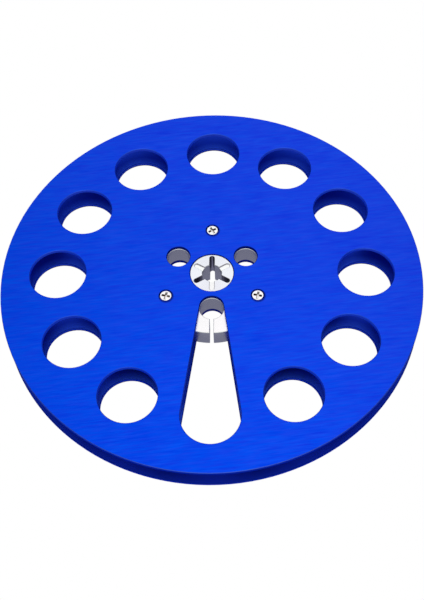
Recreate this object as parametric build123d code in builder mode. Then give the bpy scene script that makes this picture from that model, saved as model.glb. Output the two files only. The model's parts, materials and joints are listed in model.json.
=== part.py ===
from build123d import *

import os

# Seven-inch open reel for quarter-inch recording tape.
# Two anodised aluminium flanges are screwed to a turned aluminium hub with three
# countersunk screws a side. Both sides are alike: the lower side is the upper one turned
# over about the Y axis.
#
# Frame: the origin is on the spindle axis at the lower face, +Z runs up the spindle, and
# the wide tape-threading opening lies towards -Y. Lengths are in millimetres and angles
# in degrees, counted from +X.

# Whole reel
REEL_DIAMETER = 178.0
REEL_HEIGHT = 12.4
FLANGE_THICKNESS = 1.8
EDGE_BREAK = 0.2

# Round lightening holes on a clock face, less the position that the opening takes
LIGHTENING_DIAMETER = 23.9
LIGHTENING_PITCH_RADIUS = 65.3
CLOCK_STEP = 30
OPENING_ANGLE = 270

# Three round holes through flanges and hub: the opening narrows into the last of them
HUB_HOLE_DIAMETER = 10.0
HUB_HOLE_PITCH_RADIUS = 16.65
HUB_HOLE_START = 30

# Hub body, with the slot that holds the end of the tape, and its centre boss
HUB_DIAMETER = 56.4
TAPE_SLOT_WIDTH = 1.6
BOSS_DIAMETER = 18.4
BOSS_RECESS = 0.35  # how far its ends lie below the outer faces of the flanges
BOSS_EDGE_BREAK = 0.1
FLANGE_BORE_DIAMETER = 18.6
SPINDLE_BORE_DIAMETER = 8.3
BORE_EDGE_BREAK = 0.15

# Key slots for the three lugs of the spindle, cut right through, and the shallow grooves
# between them on both end faces
KEY_SLOT_START = 90
KEY_SLOT_WIDTH = 2.1
KEY_SLOT_REACH = 8.6
GROOVE_START = 30
GROOVE_WIDTH = 2.0
GROOVE_REACH = 8.5
GROOVE_DEPTH = 0.5

# Countersunk M3 screws with a cross recess
SCREW_PITCH_RADIUS = 22.2
SCREW_ANGLES = (90, 210, 330)
SCREW_TURNS = (28, -13, -13)  # where the cross of each screw came to rest
SCREW_LENGTH = 5.0
SCREW_HEAD_DIAMETER = 4.6
SCREW_HEAD_LAND = 0.1
SCREW_SHANK_DIAMETER = 2.9
SCREW_TIP_CHAMFER = 0.4
TAPPED_HOLE_DIAMETER = 3.0
CLEARANCE_HOLE_DIAMETER = 3.2
COUNTERSINK_DIAMETER = 5.7
RECESS_DEPTH = 1.0
RECESS_MOUTH = (3.6, 1.0)  # length and width of one arm of the cross
RECESS_FLOOR = (2.0, 0.65)

THREEFOLD = 3
RIGHT_ANGLE = 90

# The two outer faces of the reel, each with its normal pointing out
TOP_FACE = Plane.XY.offset(REEL_HEIGHT)
BOTTOM_FACE = Plane(origin=(0, 0, 0), x_dir=(-1, 0, 0), z_dir=(0, 0, -1))


def make_flange(outer_face):
    """Disc with lightening holes, the threading opening and countersunk screw holes."""
    with BuildSketch(outer_face) as threading_opening:
        for pitch_radius, diameter in (
            (HUB_HOLE_PITCH_RADIUS, HUB_HOLE_DIAMETER),
            (LIGHTENING_PITCH_RADIUS, LIGHTENING_DIAMETER),
        ):
            with PolarLocations(pitch_radius, 1, start_angle=OPENING_ANGLE):
                Circle(diameter / 2)
        make_hull()

    with BuildPart() as flange:
        with BuildSketch(outer_face):
            Circle(REEL_DIAMETER / 2)
            Circle(FLANGE_BORE_DIAMETER / 2, mode=Mode.SUBTRACT)
            for clock_angle in range(CLOCK_STEP, 360, CLOCK_STEP):
                with PolarLocations(
                    LIGHTENING_PITCH_RADIUS, 1, start_angle=OPENING_ANGLE + clock_angle
                ):
                    Circle(LIGHTENING_DIAMETER / 2, mode=Mode.SUBTRACT)
            with PolarLocations(
                HUB_HOLE_PITCH_RADIUS, THREEFOLD, start_angle=HUB_HOLE_START
            ):
                Circle(HUB_HOLE_DIAMETER / 2, mode=Mode.SUBTRACT)
            add(threading_opening.sketch_local, mode=Mode.SUBTRACT)
        extrude(amount=-FLANGE_THICKNESS)
        chamfer(flange.faces().filter_by(Axis.Z).edges(), length=EDGE_BREAK)
        with Locations(outer_face):
            with PolarLocations(
                SCREW_PITCH_RADIUS, THREEFOLD, start_angle=SCREW_ANGLES[0]
            ):
                CounterSinkHole(
                    radius=CLEARANCE_HOLE_DIAMETER / 2,
                    counter_sink_radius=COUNTERSINK_DIAMETER / 2,
                    counter_sink_angle=RIGHT_ANGLE,
                )
    return flange


def radial_slots(width, reach, start_angle):
    """Draws three slots from the axis outwards, each with a round outer end."""
    end_centre = reach - width / 2
    with PolarLocations(end_centre / 2, THREEFOLD, start_angle=start_angle):
        SlotCenterToCenter(end_centre, width)


def make_hub():
    """Turned hub: a body between the flanges and a boss that shows through both."""
    tape_slot_length = HUB_DIAMETER / 2 - HUB_HOLE_PITCH_RADIUS
    with BuildPart() as hub:
        # Body, pierced by the three round holes, one of which opens into the tape slot
        with BuildSketch(Plane.XY.offset(FLANGE_THICKNESS)):
            Circle(HUB_DIAMETER / 2)
            with PolarLocations(
                HUB_HOLE_PITCH_RADIUS, THREEFOLD, start_angle=HUB_HOLE_START
            ):
                Circle(HUB_HOLE_DIAMETER / 2, mode=Mode.SUBTRACT)
            with PolarLocations(
                HUB_HOLE_PITCH_RADIUS + tape_slot_length / 2, 1, start_angle=OPENING_ANGLE
            ):
                Rectangle(tape_slot_length, TAPE_SLOT_WIDTH, mode=Mode.SUBTRACT)
        extrude(amount=REEL_HEIGHT - 2 * FLANGE_THICKNESS)
        chamfer(hub.faces().filter_by(Axis.Z).edges(), length=EDGE_BREAK)

        # Boss, whose ends lie just below the outer faces of the flanges
        with BuildSketch(Plane.XY.offset(BOSS_RECESS)):
            Circle(BOSS_DIAMETER / 2)
        extrude(amount=REEL_HEIGHT - 2 * BOSS_RECESS)
        boss_ends = hub.edges().filter_by(GeomType.CIRCLE).group_by(Axis.Z)
        chamfer(boss_ends[0] + boss_ends[-1], length=BOSS_EDGE_BREAK)

        # Spindle bore and key slots
        with BuildSketch():
            Circle(SPINDLE_BORE_DIAMETER / 2)
            radial_slots(KEY_SLOT_WIDTH, KEY_SLOT_REACH, KEY_SLOT_START)
        extrude(amount=REEL_HEIGHT, mode=Mode.SUBTRACT)

        # Shallow grooves on both ends, then one edge break round grooves, bore and slots
        for end_plane in (TOP_FACE, BOTTOM_FACE):
            with BuildSketch(end_plane.offset(-BOSS_RECESS)):
                radial_slots(GROOVE_WIDTH, GROOVE_REACH, GROOVE_START)
            extrude(amount=-GROOVE_DEPTH, mode=Mode.SUBTRACT)
        for end_face in (hub.faces().sort_by(Axis.Z)[0], hub.faces().sort_by(Axis.Z)[-1]):
            chamfer(end_face.inner_wires()[0].edges(), length=BORE_EDGE_BREAK)

        # Tapped holes, each shared by an upper and a lower screw
        with PolarLocations(SCREW_PITCH_RADIUS, THREEFOLD, start_angle=SCREW_ANGLES[0]):
            Hole(TAPPED_HOLE_DIAMETER / 2)
    return hub


def make_screw(outer_face, angle, turn):
    """Countersunk screw, seated in its countersink with the top of the head just below."""
    seat = Plane(outer_face * PolarLocations(SCREW_PITCH_RADIUS, 1, angle).locations[0])
    head_radius = SCREW_HEAD_DIAMETER / 2
    shank_radius = SCREW_SHANK_DIAMETER / 2
    cone_top = head_radius - COUNTERSINK_DIAMETER / 2
    head_top = cone_top + SCREW_HEAD_LAND
    tip = head_top - SCREW_LENGTH
    with BuildPart() as screw:
        with BuildSketch(Plane(seat.origin, x_dir=seat.x_dir, z_dir=-seat.y_dir)):
            with BuildLine():
                Polyline(
                    (0, head_top),
                    (head_radius, head_top),
                    (head_radius, cone_top),
                    (shank_radius, cone_top - (head_radius - shank_radius)),
                    (shank_radius, tip + SCREW_TIP_CHAMFER),
                    (shank_radius - SCREW_TIP_CHAMFER, tip),
                    (0, tip),
                    close=True,
                )
            make_face()
        revolve(axis=Axis(seat.origin, seat.z_dir))
        for arm_angle in (turn, turn + RIGHT_ANGLE):
            with BuildSketch(seat.offset(head_top)):
                Rectangle(*RECESS_MOUTH, rotation=arm_angle - angle)
            with BuildSketch(seat.offset(head_top - RECESS_DEPTH)):
                Rectangle(*RECESS_FLOOR, rotation=arm_angle - angle)
            loft(mode=Mode.SUBTRACT)
    return screw


def write_piece(name, piece):
    """Labels a finished piece and writes its STEP file."""
    piece.part.label = name
    export_step(piece.part, f"parts/{name}.step")


os.makedirs("parts", exist_ok=True)
write_piece("hub", make_hub())
for side, outer_face in (("top", TOP_FACE), ("bottom", BOTTOM_FACE)):
    write_piece(f"{side}_flange", make_flange(outer_face))
    for number, (angle, turn) in enumerate(zip(SCREW_ANGLES, SCREW_TURNS), start=1):
        write_piece(f"{side}_screw_{number}", make_screw(outer_face, angle, turn))
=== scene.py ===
import json
import math

import bpy
from mathutils import Euler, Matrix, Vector


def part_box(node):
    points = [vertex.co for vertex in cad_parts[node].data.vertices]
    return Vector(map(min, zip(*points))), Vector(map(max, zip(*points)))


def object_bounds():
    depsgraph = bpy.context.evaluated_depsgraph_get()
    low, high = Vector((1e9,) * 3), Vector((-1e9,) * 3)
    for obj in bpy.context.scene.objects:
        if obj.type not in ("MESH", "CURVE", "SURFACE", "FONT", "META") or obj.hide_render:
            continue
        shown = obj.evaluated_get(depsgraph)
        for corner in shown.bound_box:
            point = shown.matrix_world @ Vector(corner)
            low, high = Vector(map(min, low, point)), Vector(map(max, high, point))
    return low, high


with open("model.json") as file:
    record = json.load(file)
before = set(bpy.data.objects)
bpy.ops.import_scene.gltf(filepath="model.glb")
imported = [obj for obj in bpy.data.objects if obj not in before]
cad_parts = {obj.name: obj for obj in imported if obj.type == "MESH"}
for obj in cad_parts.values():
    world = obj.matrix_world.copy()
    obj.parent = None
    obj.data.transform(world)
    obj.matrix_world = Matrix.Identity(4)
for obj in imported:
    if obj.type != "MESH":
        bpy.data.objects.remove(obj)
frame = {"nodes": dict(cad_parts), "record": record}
CAD_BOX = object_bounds()

# Looks of an open tape reel: blue anodised, brushed flanges on a bare turned hub, held by
# plated screws. All lengths are in metres in the frame of the CAD model: origin on the
# spindle axis at the lower face, +Z up, threading opening towards -Y.

MM = 0.001
REEL_HEIGHT = CAD_BOX[1].z
REEL_RADIUS = CAD_BOX[1].x
HUB_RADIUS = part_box("hub")[1].x
BOSS_RECESS = REEL_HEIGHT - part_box("hub")[1].z
HEAD_RECESS = REEL_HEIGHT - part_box("top_screw_1")[1].z

# Camera
LENS_MM = 58.43
SENSOR_MM = 36.0
CAMERA_AZIMUTH = 0.40
CAMERA_ELEVATION = 55.85
CAMERA_ROLL = -0.75
CAMERA_DISTANCE = 0.4188
AIM = Vector((0.00893, 0.01119, REEL_HEIGHT))
SHIFT_X = -0.0348
SHIFT_Y = -0.0825
CLIP_START, CLIP_END = 0.01, 100.0

# Straight-brushed grain of the flanges: degrees from +X, then length and width of a streak
GRAIN_ANGLE = 7.0
FINE_STREAK = (9 * MM, 0.50 * MM)
MIDDLE_STREAK = (10 * MM, 1.1 * MM)
BROAD_STREAK = (24 * MM, 6.0 * MM)
HUE_STREAK = (9 * MM, 1.0 * MM)
STREAK_NOISE = (3.0, 0.55)  # detail and roughness
LAYER_STEP = 10.0  # far enough apart in the noise for layers that don't look alike
MIDDLE_SHARE, BROAD_SHARE = 0.5, 0.25
STREAK_RANGE = (0.34, 0.66)  # the noise's values at which a streak is darkest and lightest
GROOVE_SHARE = (0.54, 0.10)  # how much of BLUE_GROOVE the darkest and lightest streaks take

# The blue turns from azure to a purplish blue across the flange, along this direction. The
# streaks shift it as well, by up to HUE_SWING either way.
DRIFT = (0.6, 0.8, 0.0)
DRIFT_START, DRIFT_END = -75 * MM, 65 * MM
HUE_AT_START = 0.12
HUE_GAIN = 0.75
HUE_SWING = 0.30

# Lightening holes, on a clock face: painted light brightens the faces inside near their edges
HOLE_PITCH_RADIUS = 65.3 * MM
HOLE_RADIUS = 11.95 * MM
HOLE_STEP = math.radians(30)
LIT_BAND = 3.5 * MM

# Screws, a third of a turn apart, and the shade on the face beside each, to its front right
SCREW_PITCH_RADIUS = 22.2 * MM
SCREW_START, SCREW_STEP = math.radians(90), math.radians(120)
SHADE_OFFSET = (0.15 * MM, -0.45 * MM, 0.0)
SHADE_RADIUS = 2.90 * MM
SHADE_FADE = 0.5 * MM

# Where the flanges' painted light and shade change: in depth, from the outer faces to the
# inner ones, and in distance from the hub and from the rim
INNER_FROM, INNER_TO = 0.5 * MM, 0.8 * MM
HUB_SHADE = 2 * MM
RIM_FROM, RIM_TO = REEL_RADIUS - 0.5 * MM, REEL_RADIUS - 0.3 * MM

# Hub: the key slots run from the bore almost to the rim of the boss
BORE_RADIUS = 4.15 * MM
BORE_EDGE = 0.15 * MM
SLOT_REACH = 8.8 * MM
BOSS_RADIUS = 9.2 * MM
SEAM = 0.1 * MM  # width over which one shade of the hub gives way to the next
RING_SIZE = (0.25 * MM, 0.30 * MM)  # tool marks, along the radius and along the axis
RING_NOISE = (3.0, 0.6)  # detail and roughness
CLOUD_SIZE = 8 * MM
CLOUD_SHARE = 0.4
RING_RANGE = (0.35, 0.65)
SLOT_END_RANGE = (0.75, 0.98)  # how squarely a slot's side faces the axis: 1 at its end

# Screw heads: how far below their tops the recess's painted shade starts, and is full
RECESS_FROM, RECESS_TO = 0.03 * MM, 0.25 * MM
RECESS_FLOOR_SHARE = 0.25
SPECK_SIZE = 0.5 * MM

# Steepness, as Nodes.steepness gives it, at which walls end and at which flat faces begin
WALL_RANGE = (0.3, 0.6)
FLAT_RANGE = (0.8, 0.95)
RECESS_WALL_RANGE = (0.5, 0.9)

# Roughness at the low and the high end of the pattern that each surface has
SATIN_RANGE = (0.3, 0.7)
FLANGE_ROUGHNESS = (0.34, 0.28)
INNER_ROUGHNESS = 0.17  # added on the inner faces
HUB_ROUGHNESS = (0.32, 0.24)
SLOT_SMOOTHNESS = 0.5  # roughness in the slots, as a share of that round them
SCREW_ROUGHNESS = (0.20, 0.32)
ANISOTROPY = 0.4
TOOL_MARK = 0.006 * MM
SPECK_HEIGHT = 0.004 * MM

# Colours, scene linear
BLUE_AZURE = (0.0018, 0.0905, 0.852, 1)
BLUE_PURPLISH = (0.0180, 0.0758, 0.814, 1)
BLUE_GROOVE = (0.0000, 0.0000, 0.640, 1)
BLUE_RIM_WALL = (0.0250, 0.0700, 0.700, 1)
# Painted shade on the walls round the hub
BLUE_HUB_WALL_SHADED = (0.0250, 0.0500, 0.520, 1)
# Painted shade on the faces inside, and painted light on them near the holes
BLUE_INSIDE_SHADED = (0.0120, 0.0450, 0.620, 1)
BLUE_INSIDE_LIT = (0.0400, 0.1400, 0.950, 1)
# Painted highlight on the chamfers of the outer faces, and a stronger one on the rim's
BLUE_EDGE_HIGHLIGHT = (0.0320, 0.1050, 0.900, 1)
BLUE_RIM_HIGHLIGHT = (0.0900, 0.1850, 0.970, 1)
# Painted shade, on edges round the hub and inside and on the faces beside the screws
BLUE_EDGE_SHADED = (0.0050, 0.0200, 0.300, 1)
BLUE_GLANCING = (0.1500, 0.3000, 1.000, 1)
ALUMINIUM = (1.000, 1.000, 1.000, 1)
ALUMINIUM_DULL = (0.945, 0.945, 0.965, 1)
ALUMINIUM_BOSS = (0.860, 0.870, 0.950, 1)
# Painted shade on the sides of the key slots and grooves, lighter at their ends
ALUMINIUM_SLOT_SHADE = (0.300, 0.285, 0.330, 1)
ALUMINIUM_SLOT_END_SHADE = (0.800, 0.780, 0.860, 1)
PLATED_STEEL = (1.000, 0.980, 1.000, 1)
# Brownish painted shade in the screws' cross recess
RECESS_SHADE_BROWN = (0.260, 0.190, 0.140, 1)
WHITE = (1, 1, 1, 1)

# Walls of the lightening holes and the opening, from the reel's lower face to its upper one:
# painted shade darkens their foot beside the table, and they are painted a little lighter
# towards the top
HOLE_WALL_SHADING = (
    (0.00, (0.0020, 0.0060, 0.220)),
    (0.04, (0.0020, 0.0060, 0.220)),
    (0.09, (0.0350, 0.0850, 0.800)),
    (0.70, (0.0350, 0.0850, 0.800)),
    (0.85, (0.0400, 0.0950, 0.900)),
    (1.00, (0.0400, 0.0950, 0.900)),
)

# White table, a hair below the reel
FLOOR_HALF_WIDTH = 60.0
FLOOR_HEIGHT = -0.2 * MM

# Light reflected by the table, painted into its glow by distance from the spindle axis, with
# painted shade where the reel shades it
TABLE_LIGHT = (
    (0.000, (0.160, 0.163, 0.228)),
    (0.032, (0.162, 0.166, 0.232)),
    (0.052, (0.420, 0.425, 0.470)),
    (0.088, (0.430, 0.435, 0.470)),
    (0.110, (0.430, 0.430, 0.450)),
    (0.600, (0.200, 0.200, 0.220)),
)

# Light from around and above, by the sine of the direction's elevation
SKY_LIGHT = (
    (0.00, (0.17, 0.17, 0.17)),
    (0.24, (0.44, 0.44, 0.44)),
    (0.60, (0.94, 0.98, 0.94)),
    (0.74, (0.98, 1.22, 1.04)),
    (0.84, (0.98, 0.88, 0.94)),
    (0.93, (1.36, 1.37, 1.37)),
    (0.97, (1.25, 1.26, 1.26)),
    (1.00, (0.80, 0.81, 0.82)),
)

# How much of it comes from each side, by the direction's part along X
SKY_SIDES = (
    (-1.00, 0.60),
    (-0.40, 0.72),
    (-0.20, 0.83),
    (-0.08, 1.00),
    (0.08, 1.00),
    (0.20, 0.90),
    (0.40, 0.78),
    (1.00, 0.60),
)

RIGHT_ANGLE = 90


# ---------------------------------------------------------------- node helpers


class Nodes:
    """Builds a node tree with short calls."""

    def __init__(self, tree):
        self.tree = tree

    def add(self, kind, **settings):
        node = self.tree.nodes.new(kind)
        for key, value in settings.items():
            setattr(node, key, value)
        return node

    def feed(self, node, socket, value):
        """Sets a socket to a number, colour or vector, or links an output to it."""
        if isinstance(value, bpy.types.NodeSocket):
            self.tree.links.new(value, node.inputs[socket])
        else:
            node.inputs[socket].default_value = value

    def math(self, operation, *values):
        node = self.add("ShaderNodeMath", operation=operation)
        for index, value in enumerate(values):
            self.feed(node, index, value)
        return node.outputs[0]

    def vector(self, operation, *values):
        node = self.add("ShaderNodeVectorMath", operation=operation)
        for index, value in enumerate(values):
            self.feed(node, index, value)
        return node.outputs["Value" if operation in ("LENGTH", "DOT_PRODUCT") else "Vector"]

    def combine(self, x=0.0, y=0.0, z=0.0):
        node = self.add("ShaderNodeCombineXYZ")
        for index, value in enumerate((x, y, z)):
            self.feed(node, index, value)
        return node.outputs[0]

    def place(self):
        """Position in the reel's frame."""
        return self.add("ShaderNodeTexCoord").outputs["Object"]

    def height(self, place):
        """Height above the reel's lower face."""
        return self.vector("DOT_PRODUCT", place, (0, 0, 1))

    def depth(self, place):
        """How far a point lies below the nearer of the reel's two outer faces."""
        from_middle = self.math("SUBTRACT", self.height(place), REEL_HEIGHT / 2)
        return self.math("SUBTRACT", REEL_HEIGHT / 2, self.math("ABSOLUTE", from_middle))

    def radius(self, place):
        """Distance from the spindle axis."""
        return self.vector("LENGTH", self.vector("MULTIPLY", place, (1, 1, 0)))

    def from_ring(self, place, pitch_radius, start, step):
        """Distance from the nearest of the axes that stand in a ring round the spindle."""
        parts = self.add("ShaderNodeSeparateXYZ")
        self.feed(parts, 0, place)
        angle = self.math("ARCTAN2", parts.outputs["Y"], parts.outputs["X"])
        folded = self.math("PINGPONG", self.math("SUBTRACT", angle, start), step / 2)
        radius = self.radius(place)
        along = self.math("MULTIPLY", radius, self.math("COSINE", folded))
        across = self.math("MULTIPLY", radius, self.math("SINE", folded))
        along_from_axis = self.math("SUBTRACT", along, pitch_radius)
        return self.vector("LENGTH", self.combine(along_from_axis, across))

    def facing(self, direction):
        """How squarely the true surface faces along a direction, either way: 0 to 1."""
        normal = self.add("ShaderNodeNewGeometry").outputs["True Normal"]
        return self.math("ABSOLUTE", self.vector("DOT_PRODUCT", normal, direction))

    def steepness(self):
        """0 on the walls of holes and rims, 0.7 on chamfers, 1 on flat faces."""
        return self.facing((0, 0, 1))

    def noise(self, vector, detail=2.0, roughness=0.5):
        node = self.add("ShaderNodeTexNoise")
        self.feed(node, "Vector", vector)
        node.inputs["Scale"].default_value = 1.0
        node.inputs["Detail"].default_value = detail
        node.inputs["Roughness"].default_value = roughness
        return node.outputs["Fac"]

    def streaks(self, place, size, layer):
        """Noise drawn out along the grain; each layer reads its own part of the noise."""
        turn = self.add("ShaderNodeVectorRotate", rotation_type="Z_AXIS")
        self.feed(turn, "Vector", place)
        turn.inputs["Angle"].default_value = math.radians(-GRAIN_ANGLE)
        drawn = self.vector("DIVIDE", turn.outputs[0], (size[0], size[1], 1.0))
        return self.noise(self.vector("ADD", drawn, (0, 0, LAYER_STEP * layer)), *STREAK_NOISE)

    def span(self, value, low, high, to_low=0.0, to_high=1.0):
        """Straight ramp from to_low, at low and under, to to_high, at high and over."""
        node = self.add("ShaderNodeMapRange")
        for socket, number in enumerate((value, low, high, to_low, to_high)):
            self.feed(node, socket, number)
        return node.outputs[0]

    def within(self, value, limit, width):
        """1 up to a limit, then down to 0 over a width."""
        return self.span(value, limit, limit + width, 1.0, 0.0)

    def blend(self, first, second, share):
        """A share of the second number with the rest of the first."""
        rest = self.math("MULTIPLY", first, 1.0 - share)
        return self.math("MULTIPLY_ADD", second, share, rest)

    def mix(self, factor, first, second):
        """Mixes two colours."""
        node = self.add("ShaderNodeMix", data_type="RGBA")
        colour_sockets = (0, 6, 7)
        for socket, value in zip(colour_sockets, (factor, first, second)):
            self.feed(node, socket, value)
        return node.outputs[2]

    def choose(self, factor, first, second):
        """Mixes two shaders."""
        node = self.add("ShaderNodeMixShader")
        for index, value in enumerate((factor, first, second)):
            self.feed(node, index, value)
        return node.outputs[0]

    def ramp(self, value, rows, interpolation="EASE"):
        """Colours along a ramp, from (position, colour) rows."""
        node = self.add("ShaderNodeValToRGB")
        node.color_ramp.interpolation = interpolation
        while len(node.color_ramp.elements) < len(rows):
            node.color_ramp.elements.new(0.5)
        for element, (position, colour) in zip(node.color_ramp.elements, rows):
            element.position = position
            element.color = (*colour, 1)
        self.feed(node, 0, value)
        return node.outputs[0]

    def glow(self, kind, colour):
        """An Emission or a Background of a colour."""
        node = self.add(kind)
        self.feed(node, "Color", colour)
        return node.outputs[0]

    def bump(self, height, distance):
        node = self.add("ShaderNodeBump")
        self.feed(node, "Height", height)
        node.inputs["Distance"].default_value = distance
        return node.outputs[0]


def metal(name):
    """A new metallic material, its nodes and its shader."""
    material = bpy.data.materials.new(name)
    material.use_nodes = True
    shader = material.node_tree.nodes["Principled BSDF"]
    shader.inputs["Metallic"].default_value = 1.0
    return material, Nodes(material.node_tree), shader


# ---------------------------------------------------------------- materials


def anodised_flange():
    """Straight-brushed aluminium under saturated blue anodising."""
    material, n, shader = metal("blue_anodised_brushed")
    place = n.place()
    steepness = n.steepness()
    on_face = n.span(steepness, *FLAT_RANGE)
    fine = n.streaks(place, FINE_STREAK, 0)
    grain = n.blend(fine, n.streaks(place, MIDDLE_STREAK, 1), MIDDLE_SHARE)
    tone = n.blend(grain, n.streaks(place, BROAD_STREAK, 2), BROAD_SHARE)

    # Outer faces, with painted shade beside the screws
    drift = n.span(n.vector("DOT_PRODUCT", place, DRIFT), DRIFT_START, DRIFT_END)
    hue_streak = n.span(n.streaks(place, HUE_STREAK, 3), *STREAK_RANGE, -HUE_SWING, HUE_SWING)
    drifted = n.math("MULTIPLY_ADD", drift, HUE_GAIN, HUE_AT_START)
    blue = n.mix(n.math("ADD", drifted, hue_streak), BLUE_AZURE, BLUE_PURPLISH)
    grooved = n.mix(n.span(tone, *STREAK_RANGE, *GROOVE_SHARE), blue, BLUE_GROOVE)
    beside = n.vector("SUBTRACT", place, SHADE_OFFSET)
    from_screw = n.from_ring(beside, SCREW_PITCH_RADIUS, SCREW_START, SCREW_STEP)
    shaded = n.within(from_screw, SHADE_RADIUS, SHADE_FADE)
    outside = n.mix(shaded, grooved, BLUE_EDGE_SHADED)

    # Faces inside, towards the tape: painted shade, lightened by painted light near the holes'
    # edges
    from_hole = n.from_ring(place, HOLE_PITCH_RADIUS, 0.0, HOLE_STEP)
    lit = n.within(from_hole, HOLE_RADIUS, LIT_BAND)
    inner = n.span(n.depth(place), INNER_FROM, INNER_TO)
    face = n.mix(inner, outside, n.mix(lit, BLUE_INSIDE_SHADED, BLUE_INSIDE_LIT))

    # Painted highlight on the edges of the outer faces, strongest on the rim; round the hub
    # and inside, the edges get painted shade
    on_rim = n.span(n.radius(place), RIM_FROM, RIM_TO)
    by_hub = n.within(n.radius(place), HUB_RADIUS, HUB_SHADE)
    level = n.math("DIVIDE", n.height(place), REEL_HEIGHT)
    hole_wall = n.mix(by_hub, n.ramp(level, HOLE_WALL_SHADING, "LINEAR"), BLUE_HUB_WALL_SHADED)
    wall = n.mix(on_rim, hole_wall, BLUE_RIM_WALL)
    outer_edge_highlight = n.mix(on_rim, BLUE_EDGE_HIGHLIGHT, BLUE_RIM_HIGHLIGHT)
    edge = n.mix(n.math("MAXIMUM", by_hub, inner), outer_edge_highlight, BLUE_EDGE_SHADED)
    cut = n.mix(n.span(steepness, *WALL_RANGE), wall, edge)
    n.feed(shader, "Base Color", n.mix(on_face, cut, face))

    satin = n.span(grain, *SATIN_RANGE, *FLANGE_ROUGHNESS)
    n.feed(shader, "Roughness", n.math("MULTIPLY_ADD", inner, INNER_ROUGHNESS, satin))
    shader.inputs["Specular Tint"].default_value = BLUE_GLANCING
    shader.inputs["Anisotropic"].default_value = ANISOTROPY
    across = math.radians(GRAIN_ANGLE + RIGHT_ANGLE)
    n.feed(shader, "Tangent", n.combine(math.cos(across), math.sin(across)))
    n.feed(shader, "Normal", n.bump(n.math("MULTIPLY", fine, on_face), TOOL_MARK))
    return material


def turned_hub():
    """Bare aluminium with fine rings left by the lathe, and painted shade inside the key
    slots.
    """
    material, n, shader = metal("bare_turned_aluminium")
    place = n.place()
    radius = n.radius(place)
    depth = n.depth(place)
    on_face = n.span(n.steepness(), *FLAT_RANGE)

    across, down = RING_SIZE
    marks = n.combine(n.math("DIVIDE", radius, across), n.math("DIVIDE", depth, down))
    rings = n.noise(marks, *RING_NOISE)
    cloud = n.noise(n.vector("DIVIDE", place, (CLOUD_SIZE, CLOUD_SIZE, CLOUD_SIZE)))
    tone = n.blend(rings, cloud, CLOUD_SHARE)
    bare = n.mix(n.span(tone, *RING_RANGE), ALUMINIUM_DULL, ALUMINIUM)

    # The boss's end faces are tinted lavender, unlike its grooves
    in_boss = n.within(radius, BOSS_RADIUS, SEAM)
    on_end = n.math("MULTIPLY", in_boss, n.within(depth, BOSS_RECESS, SEAM))
    open_metal = n.mix(on_end, bare, ALUMINIUM_BOSS)

    # Painted shade on the sides of its slots and grooves, lighter at their outer ends
    past_bore = n.span(radius, BORE_RADIUS, BORE_RADIUS + BORE_EDGE)
    in_slot = n.math("MULTIPLY", past_bore, n.within(radius, SLOT_REACH, SEAM))
    steep = n.math("MULTIPLY", in_slot, n.math("SUBTRACT", 1.0, on_face))
    outwards = n.vector("NORMALIZE", n.vector("MULTIPLY", place, (1, 1, 0)))
    at_end = n.span(n.facing(outwards), *SLOT_END_RANGE)
    shade = n.mix(at_end, ALUMINIUM_SLOT_SHADE, ALUMINIUM_SLOT_END_SHADE)
    n.feed(shader, "Base Color", n.mix(steep, open_metal, shade))

    satin = n.span(tone, *SATIN_RANGE, *HUB_ROUGHNESS)
    smoother = n.span(steep, 0.0, 1.0, 1.0, SLOT_SMOOTHNESS)
    n.feed(shader, "Roughness", n.math("MULTIPLY", satin, smoother))
    shader.inputs["Anisotropic"].default_value = ANISOTROPY
    tangent = n.add("ShaderNodeTangent", direction_type="RADIAL", axis="Z")
    n.feed(shader, "Tangent", tangent.outputs[0])
    n.feed(shader, "Normal", n.bump(n.math("MULTIPLY", rings, on_face), TOOL_MARK))
    return material


def plated_screw():
    """Bright plated steel; the walls of the cross recess carry a brownish painted shade."""
    material, n, shader = metal("plated_steel_screw")
    place = n.place()
    below_head = n.math("SUBTRACT", n.depth(place), HEAD_RECESS)
    below_top = n.span(below_head, RECESS_FROM, RECESS_TO)
    on_wall = n.span(n.steepness(), *RECESS_WALL_RANGE, 1.0, RECESS_FLOOR_SHARE)
    recess_shade = n.math("MULTIPLY", below_top, on_wall)
    n.feed(shader, "Base Color", n.mix(recess_shade, PLATED_STEEL, RECESS_SHADE_BROWN))
    specks = n.noise(n.vector("DIVIDE", place, (SPECK_SIZE, SPECK_SIZE, SPECK_SIZE)))
    n.feed(shader, "Roughness", n.span(specks, *SATIN_RANGE, *SCREW_ROUGHNESS))
    n.feed(shader, "Normal", n.bump(specks, SPECK_HEIGHT))
    return material


def dress_nodes():
    """Gives every CAD node its material."""
    by_slot = {
        "blue_anodised_aluminium": anodised_flange(),
        "turned_aluminium": turned_hub(),
        "plated_steel": plated_screw(),
    }
    for entry in frame["record"]["subparts"]:
        for slot in frame["nodes"][entry["node"]].material_slots:
            slot.material = by_slot[entry["material_slot"]]


# ---------------------------------------------------------------- stage


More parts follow.
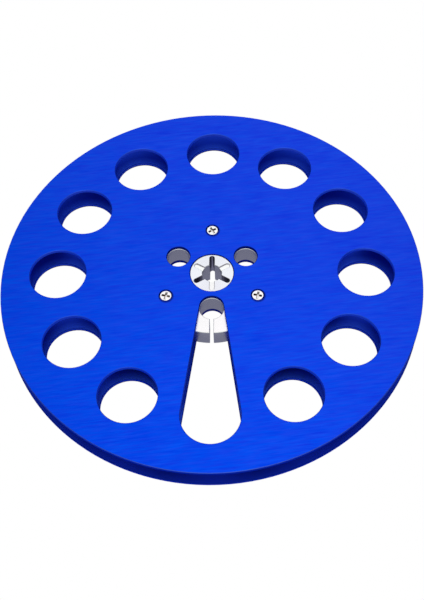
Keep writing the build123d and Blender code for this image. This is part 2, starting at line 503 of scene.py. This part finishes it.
def make_floor():
    """White table. Its own glow stands in for the light that it sends back to the reel."""
    signs = ((-1, -1), (1, -1), (1, 1), (-1, 1))
    corners = [(FLOOR_HALF_WIDTH * x, FLOOR_HALF_WIDTH * y, FLOOR_HEIGHT) for x, y in signs]
    mesh = bpy.data.meshes.new("floor")
    mesh.from_pydata(corners, [], [(0, 1, 2, 3)])
    floor = bpy.data.objects.new("floor", mesh)
    bpy.context.scene.collection.objects.link(floor)

    material = bpy.data.materials.new("white_table")
    material.use_nodes = True
    material.cycles.emission_sampling = "NONE"
    material.node_tree.nodes.clear()
    n = Nodes(material.node_tree)
    reach = TABLE_LIGHT[-1][0]
    rows = [(radius / reach, colour) for radius, colour in TABLE_LIGHT]
    sent_back = n.ramp(n.math("DIVIDE", n.radius(n.place()), reach), rows, "LINEAR")
    lit = n.glow("ShaderNodeEmission", sent_back)
    plain = n.glow("ShaderNodeEmission", WHITE)
    seen = n.add("ShaderNodeLightPath").outputs["Is Camera Ray"]
    clear = n.add("ShaderNodeBsdfTransparent").outputs[0]
    from_below = n.add("ShaderNodeNewGeometry").outputs["Backfacing"]
    surface = n.choose(from_below, n.choose(seen, lit, plain), clear)
    n.feed(n.add("ShaderNodeOutputMaterial"), "Surface", surface)
    mesh.materials.append(material)


def make_sky():
    """Soft studio light, brightest in a ring about overhead, on a white backdrop.

    It fades to a dim horizon and, less, towards the zenith and both sides.
    """
    world = bpy.data.worlds.new("studio")
    world.use_nodes = True
    bpy.context.scene.world = world
    world.node_tree.nodes.clear()
    n = Nodes(world.node_tree)
    direction = n.add("ShaderNodeTexCoord").outputs["Generated"]
    rise = n.vector("DOT_PRODUCT", direction, (0, 0, 1))
    aside = n.vector("DOT_PRODUCT", direction, (1, 0, 0))
    side_rows = [((part + 1) / 2, (level, level, level)) for part, level in SKY_SIDES]
    from_sides = n.ramp(n.span(aside, -1.0, 1.0), side_rows)
    light = n.vector("MULTIPLY", n.ramp(rise, SKY_LIGHT), from_sides)
    ceiling = n.glow("ShaderNodeBackground", light)
    backdrop = n.glow("ShaderNodeBackground", WHITE)
    seen = n.add("ShaderNodeLightPath").outputs["Is Camera Ray"]
    n.feed(n.add("ShaderNodeOutputWorld"), "Surface", n.choose(seen, ceiling, backdrop))


def make_camera():
    """Camera in front of the opening, looking down at the upper face."""
    azimuth, elevation = math.radians(CAMERA_AZIMUTH), math.radians(CAMERA_ELEVATION)
    back = Vector(
        (
            math.sin(azimuth) * math.cos(elevation),
            -math.cos(azimuth) * math.cos(elevation),
            math.sin(elevation),
        )
    )
    data = bpy.data.cameras.new("camera")
    data.sensor_width = SENSOR_MM
    data.lens = LENS_MM
    data.shift_x = SHIFT_X
    data.shift_y = SHIFT_Y
    data.clip_start = CLIP_START
    data.clip_end = CLIP_END
    camera = bpy.data.objects.new("camera", data)
    bpy.context.scene.collection.objects.link(camera)
    level = (-back).to_track_quat("-Z", "Y")
    roll = Euler((0, 0, math.radians(CAMERA_ROLL))).to_quaternion()
    camera.rotation_mode = "QUATERNION"
    camera.rotation_quaternion = level @ roll
    camera.location = AIM + back * CAMERA_DISTANCE
    bpy.context.scene.camera = camera


make_camera()
dress_nodes()
make_floor()
make_sky()
bpy.context.scene.view_settings.view_transform = "Standard"
